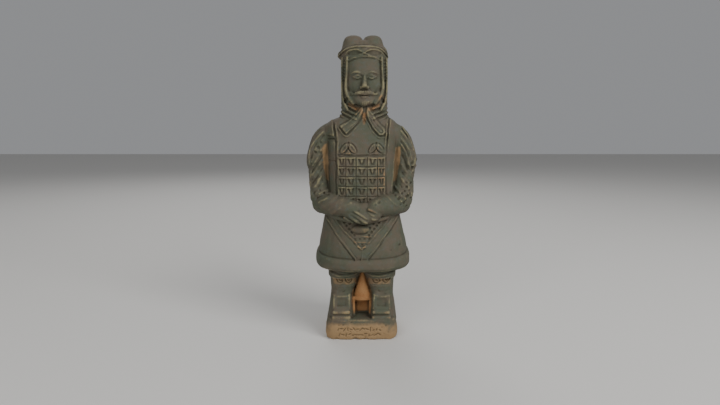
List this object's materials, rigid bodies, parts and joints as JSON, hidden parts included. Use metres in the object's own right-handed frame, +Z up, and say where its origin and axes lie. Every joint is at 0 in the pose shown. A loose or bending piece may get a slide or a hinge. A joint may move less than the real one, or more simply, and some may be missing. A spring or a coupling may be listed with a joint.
{
  "type": "warrior figurine",
  "caption": "Standing armoured general figurine with folded hands on a low base, press-moulded in fired clay as one piece.",
  "frame": {"origin": "centre of the base's underside", "axes": "+Z up along the figure, -Y towards the figure's front, +X towards its left hand"},
  "size_m": [0.0744, 0.0581, 0.2],
  "materials": {
    "fired_clay": "matt grey-green patina over orange fired clay"
  },
  "bodies": {
    "root": {"warrior_statue": "fired_clay"}
  },
  "joints": []
}
